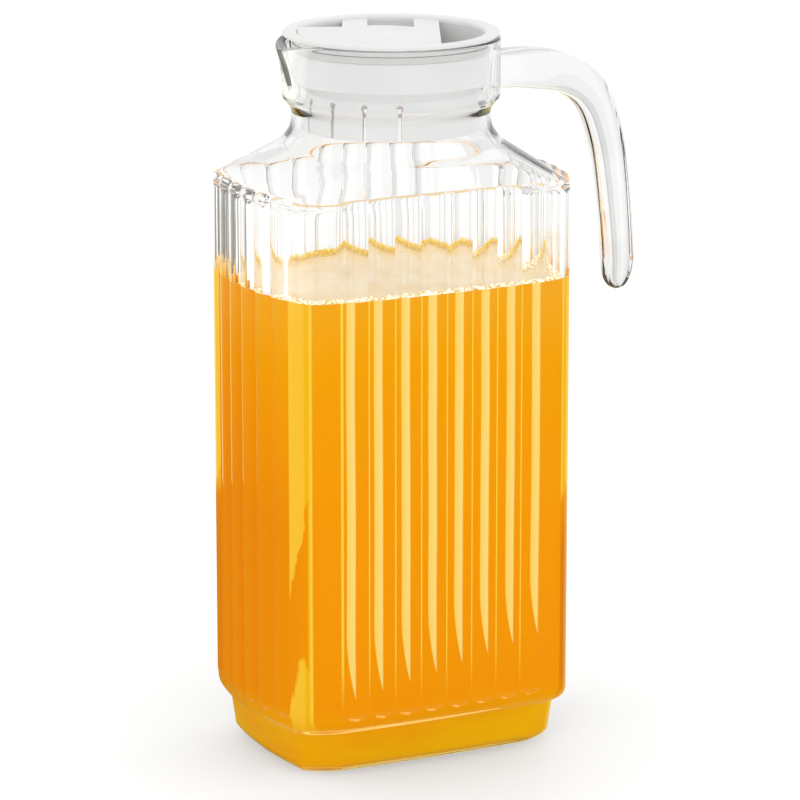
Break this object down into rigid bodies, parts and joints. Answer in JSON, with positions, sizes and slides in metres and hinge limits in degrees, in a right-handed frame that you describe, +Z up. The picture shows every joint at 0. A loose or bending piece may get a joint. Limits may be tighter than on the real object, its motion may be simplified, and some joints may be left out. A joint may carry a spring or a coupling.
{
  "type": "glass pitcher with lid",
  "caption": "Tall rectangular fluted glass fridge jug with a round collar, pinched spout, open-ended handle and a white plug lid that turns and lifts off.",
  "frame": {"origin": "middle of the flat underside of the foot, on the axis of the neck", "axes": "+Z up along the neck axis, +X towards the handle, -X towards the spout, +Y across the wide faces"},
  "size_m": [0.1581, 0.0906, 0.2599],
  "materials": {
    "clear_glass": "clear pressed soda-lime glass, glossy",
    "seal_silicone": "milky silicone, satin",
    "lid_plastic": "white moulded polypropylene, satin gloss"
  },
  "bodies": {
    "jug": {"glass_jug": "clear_glass"},
    "seal": {"seal_ring": "seal_silicone"},
    "lid": {"lid": "lid_plastic"}
  },
  "joints": [
    {"name": "lid_lift", "type": "slide", "parent": "jug", "child": "seal", "axis": [0, 0, 1], "range_m": [0, 0.1]},
    {"name": "lid_turn", "type": "hinge", "parent": "seal", "child": "lid", "pos_m": [0, 0, 0.2582], "axis": [0, 0, 1], "continuous": true}
  ]
}
